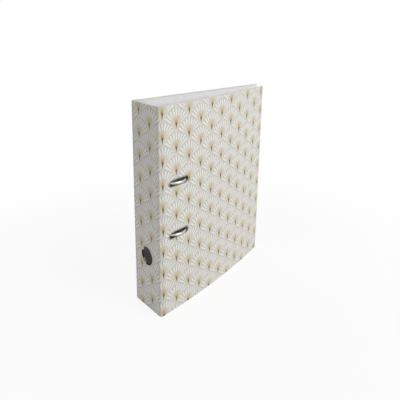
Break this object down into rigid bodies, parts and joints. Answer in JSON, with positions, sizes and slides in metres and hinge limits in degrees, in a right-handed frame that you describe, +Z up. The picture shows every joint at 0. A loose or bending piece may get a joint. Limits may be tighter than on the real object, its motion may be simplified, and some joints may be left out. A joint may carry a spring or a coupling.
{
  "type": "lever arch file",
  "caption": "A4 lever arch file: covered board case with creased hinges, riveted bent-wire ring mechanism, lever, compressor, slotted front cover and finger ring.",
  "frame": {"origin": "middle of the footprint of the bounding box, on the surface that the file stands on", "axes": "+Z up, +X from the spine to the fore-edge, -Y towards the front cover"},
  "size_m": [0.292, 0.074, 0.318],
  "materials": {
    "printed_paper": "matt printed paper, off-white with a gold fan pattern",
    "lining_paper": "matt light grey lining paper",
    "greyboard": "raw greyboard",
    "nickel_wire": "nickel-plated steel wire and tube",
    "nickel_sheet": "nickel-plated pressed steel",
    "roller_nylon": "natural nylon"
  },
  "bodies": {
    "back_cover": {"back_board": "greyboard", "back_covering": "printed_paper", "back_lining": "lining_paper", "base_plate": "nickel_sheet", "plate_rivets": "nickel_sheet", "upper_post": "nickel_wire", "lower_post": "nickel_wire", "lever_pin": "nickel_wire"},
    "spine": {"spine_board": "greyboard", "spine_covering": "printed_paper", "spine_lining": "lining_paper", "finger_ring": "nickel_sheet", "finger_ring_washer": "nickel_sheet", "front_crease_board": "greyboard", "front_crease_covering": "printed_paper", "back_crease_board": "greyboard", "back_crease_covering": "printed_paper"},
    "front_cover": {"front_board": "greyboard", "front_covering": "printed_paper", "front_lining": "lining_paper", "upper_slot_rim": "nickel_sheet", "lower_slot_rim": "nickel_sheet", "upper_slot_washer": "nickel_sheet", "lower_slot_washer": "nickel_sheet"},
    "arches": {"arch_wire": "nickel_wire"},
    "lever": {"lever": "nickel_sheet", "roller_pin": "nickel_wire"},
    "roller": {"lever_roller": "roller_nylon"},
    "compressor": {"compressor_bar": "nickel_sheet"},
    "lock": {"compressor_lock": "nickel_sheet"}
  },
  "joints": [
    {"name": "front_hinge", "type": "hinge", "parent": "spine", "child": "front_cover", "pos_m": [-0.14533, -0.03284, 0.166], "axis": [0, 0, -1], "range_deg": [0, 99.3], "deforming": ["front_crease_board", "front_crease_covering"]},
    {"name": "back_hinge", "type": "hinge", "parent": "back_cover", "child": "spine", "pos_m": [-0.13846, 0.03514, 0.166], "axis": [0, 0, -1], "range_deg": [0, 84], "deforming": ["back_crease_board", "back_crease_covering"]},
    {"name": "arch_pivot", "type": "hinge", "parent": "back_cover", "child": "arches", "pos_m": [-0.12705, 0.02824, 0.166], "axis": [0, 0, -1], "range_deg": [0, 45]},
    {"name": "lever_pivot", "type": "hinge", "parent": "back_cover", "child": "lever", "pos_m": [-0.10605, 0.02379, 0.166], "axis": [0, 0, 1], "range_deg": [0, 45]},
    {"name": "roller_spin", "type": "hinge", "parent": "lever", "child": "roller", "pos_m": [-0.11725, 0.02167, 0.166], "axis": [0, 0, 1], "continuous": true},
    {"name": "compressor_slide", "type": "slide", "parent": "back_cover", "child": "compressor", "axis": [0, -1, 0], "range_m": [0, 0.03]},
    {"name": "lock_slide", "type": "slide", "parent": "compressor", "child": "lock", "axis": [0, 0, -1], "range_m": [0, 0.005]}
  ],
  "couplings": [
    {"joint": "back_hinge", "follows": "front_hinge", "ratio": 0.8459},
    {"joint": "arch_pivot", "follows": "front_hinge", "ratio": 0.4532},
    {"joint": "lever_pivot", "follows": "front_hinge", "ratio": 0.4532}
  ]
}
